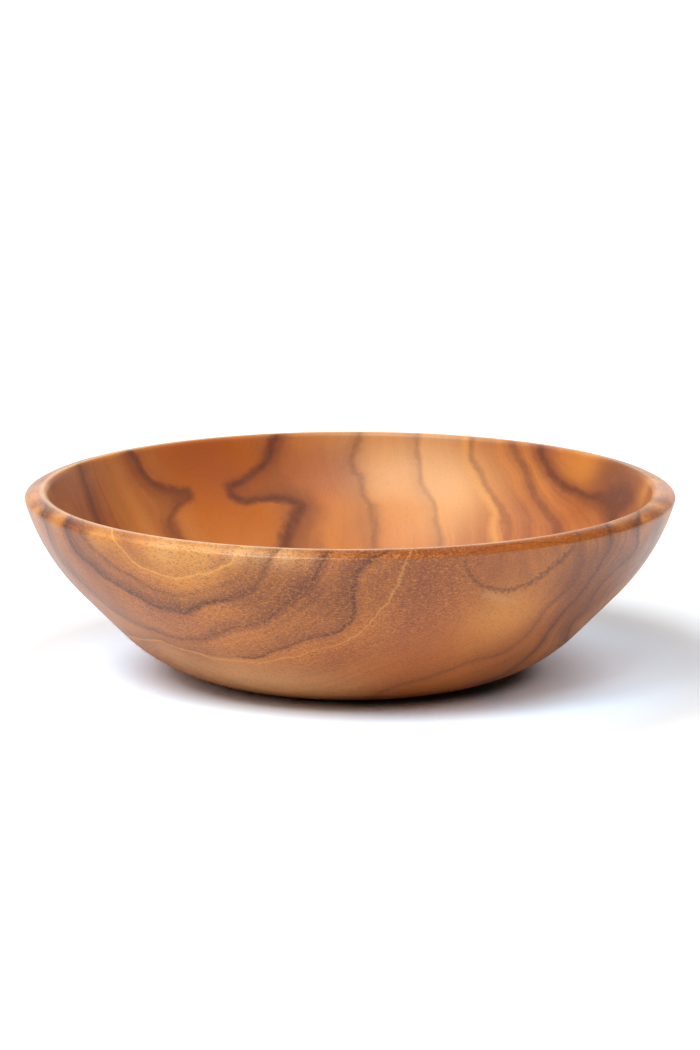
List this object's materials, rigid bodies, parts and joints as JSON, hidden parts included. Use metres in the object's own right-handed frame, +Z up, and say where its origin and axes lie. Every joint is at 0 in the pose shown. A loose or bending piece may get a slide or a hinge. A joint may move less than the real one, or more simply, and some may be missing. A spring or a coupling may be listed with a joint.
{
  "type": "bowl",
  "caption": "Wide shallow wooden bowl turned from a single block of figured teak, with a rounded rim, a flaring wall and a low foot with a shallow recess beneath.",
  "frame": {"origin": "centre of the foot, on the plane the bowl stands on", "axes": "+Z up along the bowl's axis of revolution; the side seen in the picture faces -Y, with +X to its right"},
  "size_m": [0.2, 0.2, 0.0575],
  "materials": {
    "teak": "oiled and rubbed to a low sheen, warm golden brown with dark growth-ring lines and fine open pores"
  },
  "bodies": {
    "root": {"bowl": "teak"}
  },
  "joints": []
}
